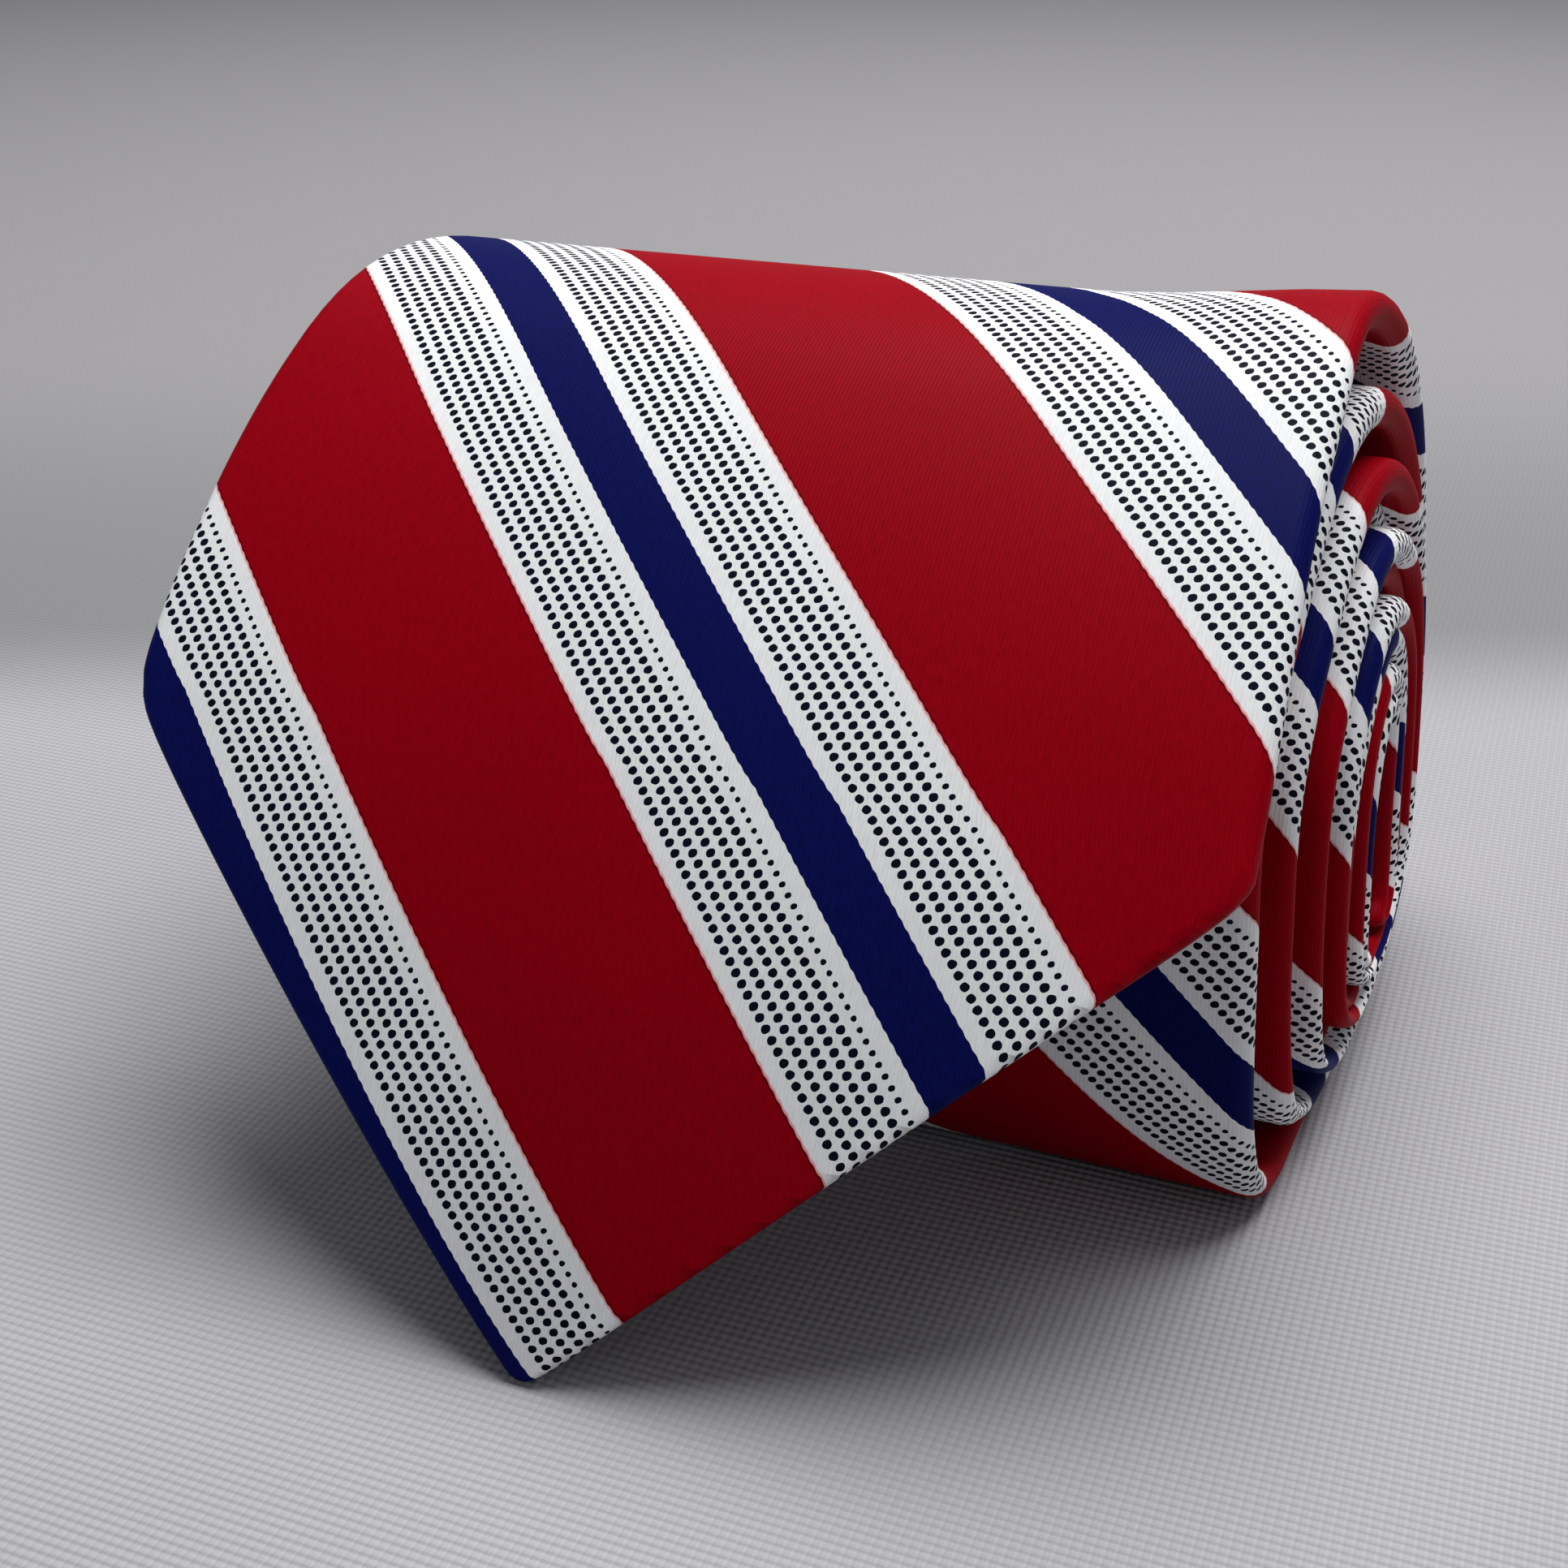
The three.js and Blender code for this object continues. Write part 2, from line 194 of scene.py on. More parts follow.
def half_width(s):
    shoulder = BLADE_WIDTH / 2
    taper = BLADE_WIDTH + (NECK_WIDTH - BLADE_WIDTH) * (s - shoulder) / (TAPER_END - shoulder)
    widening = np.clip((s - NECK_END) / (TIE_LENGTH - TAIL_POINT - NECK_END), 0, 1)
    flare = shift(NECK_WIDTH, TAIL_WIDTH, widening)
    body = np.where(s < NECK_END, np.maximum(taper, NECK_WIDTH), flare) / 2
    from_tip = np.maximum(np.minimum(s, TIE_LENGTH - s), NEAREST_TIP)
    point = np.sqrt((from_tip + POINT_ROUNDING) ** 2 - POINT_ROUNDING ** 2)
    return softer_least(body, point, SHOULDER_ROUNDING)


def right_edge(s):
    near_top = shift(EDGE_OF_BLADE, EDGE_AT_LEAVE, smooth(s, BLADE_WIDTH / 2, leave_reach))
    in_wide = shift(EDGE_OF_TURNS, EDGE_AT_FOLD, smooth(s, leave_reach, fold_reach))
    to_tail = smooth(s, fold_reach, TIE_LENGTH - TAIL_WIDTH / 2)
    in_both = shift(in_wide, EDGE_OF_TAIL, to_tail)
    y, z = [np.interp(s, reach, line[:, k]) for k in (0, 1)]
    skewed = in_both + END_SKEW * y - END_LEAN * (z - END_LEAN_FROM)
    return shift(near_top, skewed, in_roll(s))


def middle(s):
    full = np.clip(s, BLADE_WIDTH / 2, TIE_LENGTH - TAIL_WIDTH / 2)
    return right_edge(full) - half_width(full)


# ---- How the roll has settled ----
# Its turns have sunk under their own weight, so that they are packed tight below the core and
# lie loose above it. In front, the lowest of them have spread forward. At the right-hand end
# the top edge stands up a little.
SETTLED, SETTLED_ROUNDING = 15.0, 0.12
SETTLED_CENTRE, SETTLED_DEPTH, SETTLED_HEIGHT = 33.0, 35.0, 33.0
SPREAD, SPREAD_HEIGHT = 7.0, 18.0
SPREAD_BEGINS, SPREAD_ENDS = (-8.0, 6.0), (18.0, 37.0)
TOP_FLARE, TOP_FLARE_WIDTH = 1.9, 24.0
TOP_FLARE_BEGINS, TOP_FLARE_ENDS = (79.0, 98.0), (112.0, 150.0)


def settled(s, y, z):
    """Where a spot in the roll settles, as y and z. The wide end that leans out stays put."""
    out = np.hypot(y / SETTLED_DEPTH, (z - SETTLED_CENTRE) / SETTLED_HEIGHT)
    deep = np.maximum(1 - np.sqrt(out ** 2 + SETTLED_ROUNDING ** 2), 0)
    sunk = z - SETTLED * in_roll(s) * deep
    low = 1 - smooth(sunk, 0, SPREAD_HEIGHT)
    front = smooth(-y, *SPREAD_BEGINS) * (1 - smooth(-y, *SPREAD_ENDS))
    return y - SPREAD * in_roll(s) * low * front, sunk


def place(s, across, depth):
    """Points of the cloth, in metres, at distances s and across, and at a depth behind its
    front."""
    flat = np.array(s, float)
    at = [np.interp(flat, reach, line[:, k]) for k in (0, 1)]
    inner = [np.interp(flat, reach, line_inward[:, k]) for k in (0, 1)]
    y, z = settled(flat, at[0] + inner[0] * depth, at[1] + inner[1] * depth)
    x = middle(flat) + across
    on_top = smooth(flat, *TOP_FLARE_BEGINS) * (1 - smooth(flat, *TOP_FLARE_ENDS))
    edge = right_edge(flat)
    z = z + TOP_FLARE * on_top * smooth(x, edge - TOP_FLARE_WIDTH, edge)
    return 0.001 * np.stack([x, y, z], -1)


# ---- How the silk is folded ----
# Its hems are 14 mm wide behind both points, and from a little before each bar tack they meet
# in the middle of the back. The folds along its edges are left soft, so they stand thicker than
# the rest, and thickest where the narrow half beneath stops short of the edge. MOST and LEAST
# values are shares of half the tie's width.
HEM_WIDTH = 14.0
HEM_FROM_MIDDLE = 0.3
BLADE_TACK_ANGLE, TAIL_TACK_ANGLE = 112.0, 98.0
BLADE_TACK_PLACE, TAIL_TACK_PLACE = wide_place(BLADE_TACK_ANGLE), narrow_place(TAIL_TACK_ANGLE)
TACK_MARGIN = 3.0
BLADE_HEMS_MEET = BLADE_TACK_PLACE - TACK_MARGIN
TAIL_HEMS_MEET = TIE_LENGTH - TAIL_TACK_PLACE - TACK_MARGIN
HEMS_CLOSE_FROM = 0.5
LEAST_HEM = 0.45
EDGE_SWELL, ROOM_FILLED, MOST_SWELL = 0.35, 0.8, 0.3
ROOM_LEFT = 0.5
ROOM_BEGINS, ROOM_FULL = 2.0, 9.0
EDGE_DEPTH, MOST_EDGE = 0.62, 0.5
SWELL_WIDTH, MOST_SWELL_WIDTH = 16.0, 0.8
NOSE = 1.6
MOST_SILK = 0.2
FRONT_POINTS, EDGE_POINTS, HEM_POINTS = 9, 10, 8
STRETCHED_TO, STRETCH_FADE, UNSTRETCHED = 88.0, 20.0, 0.147
TIP_GATHER, TIP_GATHER_FADE = 2.2, 7.0
NORMAL_STEP = 0.4


def neighbour_room(s):
    """How far the wide half may swell at its right-hand edge, where the narrow half stops
    short."""
    angle = np.interp(s, reach[len(leaning):len(wide)], angles)
    other = np.interp(-angle, -angles[::-1], reach[-len(angles):])
    short = right_edge(s) - right_edge(other)
    room = 2 * (CLOTH_THICKNESS + slack(angle)) - CLOTH_THICKNESS - ROOM_LEFT
    return np.where(s < fold_reach, room * smooth(short, ROOM_BEGINS, ROOM_FULL), 0)


def hem_width(s):
    meeting = np.where(s < TIE_LENGTH / 2, BLADE_HEMS_MEET, TAIL_HEMS_MEET)
    from_tip = np.minimum(s, TIE_LENGTH - s)
    closing = smooth(from_tip, HEMS_CLOSE_FROM * meeting, meeting)
    closed = half_width(s) - HEM_FROM_MIDDLE
    return np.minimum(closed, shift(HEM_WIDTH, closed, closing))


def silk_side(s, side):
    """One side of the silk at each s, from the middle of the front, round its edge and along
    its hem, as a distance across and a depth."""
    half = half_width(s)
    hem = np.maximum(hem_width(s), LEAST_HEM * half)
    room = neighbour_room(s) if side > 0 else 0 * s
    swell = EDGE_SWELL + ROOM_FILLED * room
    thick = CLOTH_THICKNESS + np.minimum(swell, MOST_SWELL * half)
    edge = np.minimum(EDGE_DEPTH * thick, MOST_EDGE * half)
    turn = np.linspace(0, math.pi, EDGE_POINTS)
    front = np.linspace(0, 1, FRONT_POINTS)[:-1] * (half - edge)
    rounded = half - edge + edge * np.sin(turn)
    back = half - edge - np.linspace(0, 1, HEM_POINTS)[1:] * (hem - edge)
    swollen = smooth(back, half - np.minimum(SWELL_WIDTH, MOST_SWELL_WIDTH * half), half - edge)
    back_depth = CLOTH_THICKNESS + (thick - CLOTH_THICKNESS) * swollen
    across = side * np.concatenate([front, rounded, back], 1)
    depth = np.concatenate([0 * front, thick / 2 * (1 - np.cos(turn)) + 0 * s, back_depth], 1)
    nose = np.sqrt(1 - (1 - np.clip(np.minimum(s, TIE_LENGTH - s) / NOSE, 0, 1)) ** 2)
    return across, CLOTH_THICKNESS / 2 + (depth - CLOTH_THICKNESS / 2) * nose


def silk_lines(s):
    """The outer and the inner face of the silk at each s, from one hem round the front to the
    other, with how far along the cloth each point is from the middle of the front."""
    s = s[:, None]
    left, right = silk_side(s, -1), silk_side(s, 1)
    u, depth = [np.concatenate([a[:, :0:-1], b], 1) for a, b in zip(left, right)]
    du, dd = np.gradient(u, axis=1), np.gradient(depth, axis=1)
    size = np.maximum(np.hypot(du, dd), 1e-9)
    inset = np.minimum(SILK_THICKNESS, MOST_SILK * half_width(s))
    inner_u, inner_d = u - inset * dd / size, depth + inset * du / size
    step_u = np.diff(u, axis=1, prepend=u[:, :1])
    step_d = np.diff(depth, axis=1, prepend=depth[:, :1])
    girth = np.cumsum(np.hypot(step_u, step_d), 1)
    girth -= girth[:, [u.shape[1] // 2]]
    return (u, depth), (inner_u, inner_d), girth


def along_weave(s):
    """How far along its weave a place in the cloth lies. The wide end is stretched, so beyond it
    more of the weave goes into each millimetre. It is gathered a little at the tip too."""
    beyond = np.maximum(s - STRETCHED_TO, 0)
    gathered = UNSTRETCHED * (beyond - STRETCH_FADE * (1 - np.exp(-beyond / STRETCH_FADE)))
    return s + gathered - TIP_GATHER * np.exp(-s / TIP_GATHER_FADE)


def two_faced(name, s, front, back, girth):
    """A closed piece of cloth between a front and a back face, each given as distances across
    and depths at every s. Its map holds distances across and along the weave, in metres."""
    rows, cols = front[0].shape
    points, normals = [], []
    for face, way in ((front, 1), (back, -1)):
        at = s[:, None] + 0 * face[0]
        here = place(at, *face)
        uphill = place(at + NORMAL_STEP, *face) - place(at - NORMAL_STEP, *face)
        normal = way * np.cross(np.gradient(here, axis=1), uphill)
        normal /= np.maximum(np.linalg.norm(normal, axis=-1), 1e-12)[..., None]
        points.append(here.reshape(-1, 3))
        normals.append(normal.reshape(-1, 3))
    count = rows * cols
    index = np.arange(count).reshape(rows, cols)
    quads = []

    def grid(a, flip):
        corners = [a[:-1, :-1], a[:-1, 1:], a[1:, 1:], a[1:, :-1]]
        quads.append(np.stack([c.ravel() for c in (corners[::-1] if flip else corners)], -1))

    grid(index, False)
    grid(index + count, True)
    for edge, flip in (
        (index[:, 0], True), (index[:, -1], False), (index[0], False), (index[-1], True),
    ):
        grid(np.stack([edge, edge + count], 1), flip)
    mesh = bpy.data.meshes.new(name)
    mesh.from_pydata(np.vstack(points).tolist(), [], np.vstack(quads).tolist())
    along = np.broadcast_to(along_weave(s)[:, None], (rows, cols))
    cloth = 0.001 * np.stack([girth, along], -1).reshape(-1, 2)
    cloth = np.vstack([cloth, cloth])
    layer = mesh.uv_layers.new(name="Cloth")
    corner = np.zeros(len(mesh.loops), int)
    mesh.loops.foreach_get("vertex_index", corner)
    layer.data.foreach_set("uv", cloth[corner].ravel())
    mesh.polygons.foreach_set("use_smooth", [True] * len(mesh.polygons))
    mesh.validate()
    mesh.normals_split_custom_set_from_vertices(np.vstack(normals).tolist())
    piece = bpy.data.objects.new(name, mesh)
    bpy.context.scene.collection.objects.link(piece)
    return piece


# ---- How the silk is woven ----
# Woven red with a navy line between two dotted white bands. The stripes run at 41 degrees across
# the wide end and at 45 degrees from there on. Each band has a plain white border and six
# columns of small dark dots, of which the last are smaller. A pale thread runs along both sides
# of the red, and inside it a thin dark line is painted shade, standing for the shadow in a recess.
STRIPE_ANGLE = math.radians(41.4)
STRIPE_START = -0.1
BAND, RED, NAVY = 8.92, 18.66, 4.69
BORDER = 1.0
DOT_COLUMNS = 6
DOT_COLUMN, DOT_ROW, DOT_SHIFT = 1.17, 0.91, 0.69
DOT_RADIUS, LAST_DOT_RADIUS, DOT_FLATNESS = 0.36, 0.24, 1.1
RIB_PITCH, STRIPE_STEP = 0.32, 0.03
PALE_THREAD, PAINTED_GROOVE_SHADE = (-0.04, 0.13), (-0.2, -0.04)
CLOUDING, GRAIN_ACROSS, GRAIN_ALONG = 0.05, 3.0, 0.9
SILK_GLOSS, SILK_ROUGHNESS = 0.02, 0.42
WHITE_RAISED, RIB_RAISED, DOT_SUNK, SILK_RELIEF = 0.5, 0.15, 0.7, 0.00006


class Weave:
    """Adds nodes to one material, so that a pattern can be written as a sum."""

    def __init__(self, name):
        self.material = bpy.data.materials.new(name)
        self.material.use_nodes = True
        self.tree = self.material.node_tree
        self.shader = self.tree.nodes["Principled BSDF"]

    def node(self, kind, **settings):
        made = self.tree.nodes.new(kind)
        for key, value in settings.items():
            setattr(made, key, value)
        return made

    def put(self, value, socket):
        if isinstance(value, bpy.types.NodeSocket):
            self.tree.links.new(value, socket)
        elif isinstance(value, tuple):
            socket.default_value = (*value, 1)
        else:
            socket.default_value = value

    def math(self, operation, *values):
        made = self.node("ShaderNodeMath", operation=operation)
        for value, socket in zip(values, made.inputs):
            self.put(value, socket)
        return made.outputs[0]

    def mix(self, share, a, b, how="MIX"):
        made = self.node("ShaderNodeMix", data_type="RGBA", blend_type=how)
        self.put(share, made.inputs["Factor"])
        self.put(a, made.inputs[6])
        self.put(b, made.inputs[7])
        return made.outputs[2]

    def cloth(self):
        """Distances across and along the cloth, in millimetres."""
        spot = self.node("ShaderNodeUVMap", uv_map="Cloth")
        parts = self.node("ShaderNodeSeparateXYZ")
        self.put(spot.outputs[0], parts.inputs[0])
        return [self.math("MULTIPLY", parts.outputs[k], 1000.0) for k in (0, 1)]

    def vector(self, x, y, z=0.0):
        made = self.node("ShaderNodeCombineXYZ")
        for value, socket in zip((x, y, z), made.inputs):
            self.put(value, socket)
        return made.outputs[0]

    def noise(self, x, y, scale, detail=2.0):
        made = self.node("ShaderNodeTexNoise")
        self.put(self.vector(x, y), made.inputs["Vector"])
        made.inputs["Scale"].default_value = scale
        made.inputs["Detail"].default_value = detail
        return made.outputs["Fac"]

    def between(self, value, low, high):
        above, below = self.math("GREATER_THAN", value, low), self.math("LESS_THAN", value, high)
        return self.math("MULTIPLY", above, below)

    def from_middle(self, count, pitch):
        """Distance from the middle of the cell that a running count is in."""
        return self.math("MULTIPLY", self.math("SUBTRACT", self.math("FRACT", count), 0.5), pitch)

    def wave(self, value, pitch):
        return self.math("SINE", self.math("MULTIPLY", value, 2 * math.pi / pitch))

    def finish(self, colour, roughness):
        self.put(colour, self.shader.inputs["Base Color"])
        self.put(roughness, self.shader.inputs["Roughness"])

    def bump(self, height, distance, strength=1.0):
        made = self.node("ShaderNodeBump")
        made.inputs["Strength"].default_value = strength
        made.inputs["Distance"].default_value = distance
        self.put(height, made.inputs["Height"])
        self.put(made.outputs[0], self.shader.inputs["Normal"])


def linear(r, g, b):
    return tuple(
        ((c / 255 + 0.055) / 1.055) ** 2.4 if c > 10 else c / 255 / 12.92 for c in (r, g, b)
    )


def silk_material():
    w = Weave("striped silk")
    across, along = w.cloth()
    cos, sin = math.cos(STRIPE_ANGLE), math.sin(STRIPE_ANGLE)
    rib = w.wave(across, RIB_PITCH)

    # Which stripe a spot is in.
    over = w.math("MULTIPLY_ADD", across, cos, w.math("MULTIPLY", along, sin))
    stepped = w.math("MULTIPLY", w.wave(across, 2 * RIB_PITCH), STRIPE_STEP)
    over = w.math("SUBTRACT", w.math("ADD", over, stepped), STRIPE_START)
    spot = w.math("FLOORED_MODULO", over, 2 * BAND + RED + NAVY)
    red = w.between(spot, BAND, BAND + RED)
    navy = w.math("GREATER_THAN", spot, 2 * BAND + RED)
    white = w.math("SUBTRACT", 1.0, w.math("MAXIMUM", red, navy))
    from_red = w.math("ABSOLUTE", w.math("SUBTRACT", spot, BAND + RED / 2))
    past_red = w.math("SUBTRACT", from_red, RED / 2)
    pale, groove_shade = w.between(past_red, *PALE_THREAD), w.between(past_red, *PAINTED_GROOVE_SHADE)

    # Dots in columns along each band.
    second = w.math("GREATER_THAN", spot, BAND + RED / 2)
    band = w.math("SUBTRACT", spot, w.math("MULTIPLY", second, BAND + RED))
    column = w.math("DIVIDE", w.math("SUBTRACT", band, BORDER), DOT_COLUMN)
    number = w.math("FLOOR", column)
    down = w.math("MULTIPLY_ADD", along, cos, w.math("MULTIPLY", across, -sin))
    row = w.math("DIVIDE", w.math("MULTIPLY_ADD", number, DOT_SHIFT, down), DOT_ROW)
    aside, ahead = w.from_middle(column, DOT_COLUMN), w.from_middle(row, DOT_ROW * DOT_FLATNESS)
    far_off = w.math("SQRT", w.math("MULTIPLY_ADD", aside, aside, w.math("MULTIPLY", ahead, ahead)))
    last = w.math("GREATER_THAN", number, DOT_COLUMNS - 1.5)
    radius = w.math("MULTIPLY_ADD", last, LAST_DOT_RADIUS - DOT_RADIUS, DOT_RADIUS)
    in_columns = w.math("MULTIPLY", w.between(number, -0.5, DOT_COLUMNS - 0.5), white)
    dot = w.math("MULTIPLY", w.math("LESS_THAN", far_off, radius), in_columns)

    # Uneven threads, and slow clouding over the whole cloth.
    cloud = w.noise(across, along, CLOUDING)
    fine_x, fine_y = w.math("MULTIPLY", across, GRAIN_ACROSS), w.math("MULTIPLY", along, GRAIN_ALONG)
    fine = w.noise(fine_x, fine_y, 1.0)
    lit = w.math("MULTIPLY_ADD", rib, 0.5, 0.5)
    grain = w.math("MULTIPLY_ADD", fine, 0.8, w.math("MULTIPLY", lit, 0.2))

    red_colour = w.mix(grain, linear(118, 0, 10), linear(156, 0, 22))
    navy_colour = w.mix(grain, linear(6, 10, 56), linear(14, 20, 92))
    white_colour = w.mix(grain, linear(216, 216, 218), linear(246, 246, 246))
    colour = w.mix(red, white_colour, red_colour)
    colour = w.mix(navy, colour, navy_colour)
    colour = w.mix(w.math("MULTIPLY", pale, 0.8), colour, linear(232, 150, 150))
    # Painted shade: a thin dark line inside the pale thread, where the recess beside the red would
    # lie in shadow.
    colour = w.mix(w.math("MULTIPLY", groove_shade, 0.6), colour, linear(40, 8, 12))
    colour = w.mix(dot, colour, linear(14, 16, 30))
    shade = w.math("MULTIPLY_ADD", cloud, 0.16, 0.92)
    colour = w.mix(1.0, colour, w.vector(shade, shade, shade), how="MULTIPLY")
    w.finish(colour, w.math("MULTIPLY_ADD", grain, 0.12, SILK_ROUGHNESS))
    w.shader.inputs["Specular IOR Level"].default_value = SILK_GLOSS
    raised = w.math("MULTIPLY_ADD", white, WHITE_RAISED, w.math("MULTIPLY", rib, RIB_RAISED))
    w.bump(w.math("SUBTRACT", raised, w.math("MULTIPLY", dot, DOT_SUNK)), SILK_RELIEF, 0.7)
    return w.material


SILK = silk_material()

# ---- The lengths of silk ----
# Two sewn seams join them, one in each half of the tie.
BLADE_SEAM, NECK_SEAM = 0.38 * TIE_LENGTH, 0.7 * TIE_LENGTH
SEAM_GAP = 0.1
SILK_FROM_TIP = 0.12
ROW_MARGIN = 0.3
ROWS_NEAR_TIP = (0.25, 0.6, 1.1, 1.8, 2.8, 4.2)
ROWS_BY_SHOULDER = np.arange(BLADE_WIDTH / 2 - 7, BLADE_WIDTH / 2 + 7, 1.0)


def rows_between(start, end):
    inside = reach[(reach > start + ROW_MARGIN) & (reach < end - ROW_MARGIN)]
    return np.unique(np.concatenate([[start], inside, [end]]))


def silk_piece(name, start, end):
    near = [start + d for d in ROWS_NEAR_TIP] if start < 1 else []
    far = [end - d for d in ROWS_NEAR_TIP] if end > TIE_LENGTH - 1 else []
    shoulder = [s for s in ROWS_BY_SHOULDER if start < s < end]
    s = np.unique(np.concatenate([rows_between(start, end), near, far, shoulder]))
    front, back, girth = silk_lines(s)
    piece = two_faced(name, s, front, back, girth)
    piece.data.materials.append(SILK)
    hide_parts(name)
    return piece


def lifts(piece):
    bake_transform(piece)


lifts(silk_piece("flap_silk", SILK_FROM_TIP, leave_reach))
for name, start, end in (
    ("blade_silk", leave_reach, BLADE_SEAM - SEAM_GAP),
    ("neck_silk", BLADE_SEAM + SEAM_GAP, NECK_SEAM - SEAM_GAP),
    ("tail_silk", NECK_SEAM + SEAM_GAP, TIE_LENGTH - SILK_FROM_TIP),
):
    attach(silk_piece(name, start, end), "roll")

# ==== The interlining ====
# A length of brushed wool, cut to the finished outline, that gives the tie its body. The silk is
# wrapped round it and only a few long stitches hold it.
WOOL_FRONT, WOOL_BACK = 0.55, 1.15
WOOL_INSET, WOOL_FROM_TIP = 1.3, 2.6
STRIP_POINTS = 13
STRIP_EDGE = 0.35
LEAST_HALF = 0.3


def wool_material():
    w = Weave("brushed wool")
    across, along = w.cloth()
    grid = w.math("MULTIPLY", w.wave(along, 0.9), w.wave(across, 0.8))
    fuzz = w.noise(across, along, 2.5, detail=6.0)
    share = w.math("MULTIPLY_ADD", grid, 0.25, fuzz)
    w.finish(w.mix(share, linear(214, 208, 194), linear(240, 236, 226)), 0.95)
    w.shader.inputs["Sheen Weight"].default_value = 0.4
    w.bump(w.math("MULTIPLY_ADD", grid, 0.4, fuzz), 0.0002)
    return w.material


WOOL = wool_material()


def strip_piece(name, start, end, half, front_depth, back_depth, material):
    """A flat strip inside the tie or on its back, half as wide at each s as half says. It is
    thinner along its edges."""
    s = rows_between(start, end)
    share = np.linspace(-1, 1, STRIP_POINTS)[None, :]
    girth = share * half(s)[:, None]
    fullness = STRIP_EDGE + (1 - STRIP_EDGE) * ((1 - share ** 6) + 0 * girth)
    centre, thick = (front_depth + back_depth) / 2, (back_depth - front_depth) / 2
    front, back = (girth, centre - thick * fullness), (girth, centre + thick * fullness)
    piece = two_faced(name, s, front, back, girth)
    piece.data.materials.append(material)
    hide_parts(name)
    width = 2 * half(s)
    return piece


def wool_piece(name, start, end):
    def half(s):
        return np.maximum(half_width(s) - WOOL_INSET, LEAST_HALF)

    return strip_piece(name, start, end, half, WOOL_FRONT, WOOL_BACK, WOOL)


lifts(wool_piece("flap_interlining", WOOL_FROM_TIP, leave_reach))
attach(wool_piece("interlining", leave_reach, TIE_LENGTH - WOOL_FROM_TIP), "roll")

# ==== The linings behind the points ====
# Plain navy satin, cut a little smaller than the point and sewn inside its hems, so that the
# back of each end is finished. It shows only where the hems stand apart.
LINING_FRONT, LINING_BACK = 1.22, 1.42
LINING_FROM_HEM, LINING_FROM_TIP = 0.4, 15.8
BLADE_LINING, TAIL_LINING = 0.88, 0.8


def lining_material():
    w = Weave("navy lining")
    across, along = w.cloth()
    twill = w.wave(w.math("ADD", across, along), 0.35)
    share = w.math("MULTIPLY_ADD", twill, 0.2, w.noise(across, along, 0.12))
    w.finish(w.mix(share, linear(14, 20, 62), linear(30, 40, 104)), 0.38)
    w.shader.inputs["Sheen Weight"].default_value = 0.1
    w.bump(twill, 0.00004, 0.6)
    return w.material


LINING = lining_material()


def lining_piece(name, start, end):
    def half(s):
        return np.maximum(half_width(s) - hem_width(s) - LINING_FROM_HEM, LEAST_HALF)

    return strip_piece(name, start, end, half, LINING_FRONT, LINING_BACK, LINING)


lifts(lining_piece("flap_tipping", LINING_FROM_TIP, leave_reach))
for name, start, end in (
    ("blade_tipping", leave_reach, BLADE_LINING * BLADE_HEMS_MEET),
    ("tail_tipping", TIE_LENGTH - TAIL_LINING * TAIL_HEMS_MEET, TIE_LENGTH - LINING_FROM_TIP),
):
    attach(lining_piece(name, start, end), "roll")

# ==== The slip stitch ====
# One long white thread, sewn by hand, that closes the back from one bar tack to the other. It
# winds from hem to hem and is left slack.
THREAD_RADIUS = 0.16
THREAD_SIDES = 6
STITCH_PITCH, STITCH_STEPS = 6.5, 6
STITCH_SWAY = 0.5
STITCH_DEPTH, STITCH_DIP = 1.6, 0.12
ASLANT = (0.31, 0.17, 0.93)


def thread_material():
    w = Weave("white thread")
    across, along = w.cloth()
    ply = w.wave(w.math("ADD", across, w.math("MULTIPLY", along, 2.0)), 0.3)
    share = w.math("MULTIPLY_ADD", ply, 0.5, 0.5)
    w.finish(w.mix(share, linear(214, 213, 208), linear(244, 243, 240)), 0.75)
    w.bump(ply, 0.00005)
    return w.material


THREAD = thread_material()


def threads(name, paths, radius):
    """Closed round threads along paths of (s, across, depth), joined into one piece."""
    points, faces, cloth = [], [], []
    for path in paths:
        spots = place(path[:, 0], path[:, 1], path[:, 2])
        along = np.gradient(spots, axis=0)
        along /= np.linalg.norm(along, axis=1)[:, None]
        aside = np.cross(along, ASLANT)
        aside /= np.linalg.norm(aside, axis=1)[:, None]
        upward = np.cross(along, aside)
        base = len(points)
        steps = np.linalg.norm(np.diff(spots, axis=0), axis=1)
        length = np.concatenate([[0], np.cumsum(steps)])
        for i, spot in enumerate(spots):
            for k in range(THREAD_SIDES):
                turn = 2 * math.pi * k / THREAD_SIDES
                out = math.cos(turn) * aside[i] + math.sin(turn) * upward[i]
                points.append(spot + 0.001 * radius * out)
                cloth.append((0.001 * radius * turn, length[i]))
        rings = [
            [base + i * THREAD_SIDES + k for k in range(THREAD_SIDES)] for i in range(len(spots))
        ]
        for ring, after in zip(rings, rings[1:]):
            for k in range(THREAD_SIDES):
                beside = (k + 1) % THREAD_SIDES
                faces.append((ring[k], after[k], after[beside], ring[beside]))
        faces.append(rings[0])
        faces.append(rings[-1][::-1])
    mesh = bpy.data.meshes.new(name)
    mesh.from_pydata([list(point) for point in points], [], faces)
    layer = mesh.uv_layers.new(name="Cloth")
    for loop, uv in zip(mesh.loops, layer.data):
        uv.uv = cloth[loop.vertex_index]
    mesh.polygons.foreach_set("use_smooth", [True] * len(mesh.polygons))
    piece = bpy.data.objects.new(name, mesh)
    bpy.context.scene.collection.objects.link(piece)
    piece.data.materials.append(THREAD)
    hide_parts(name)
    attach(piece, "roll")


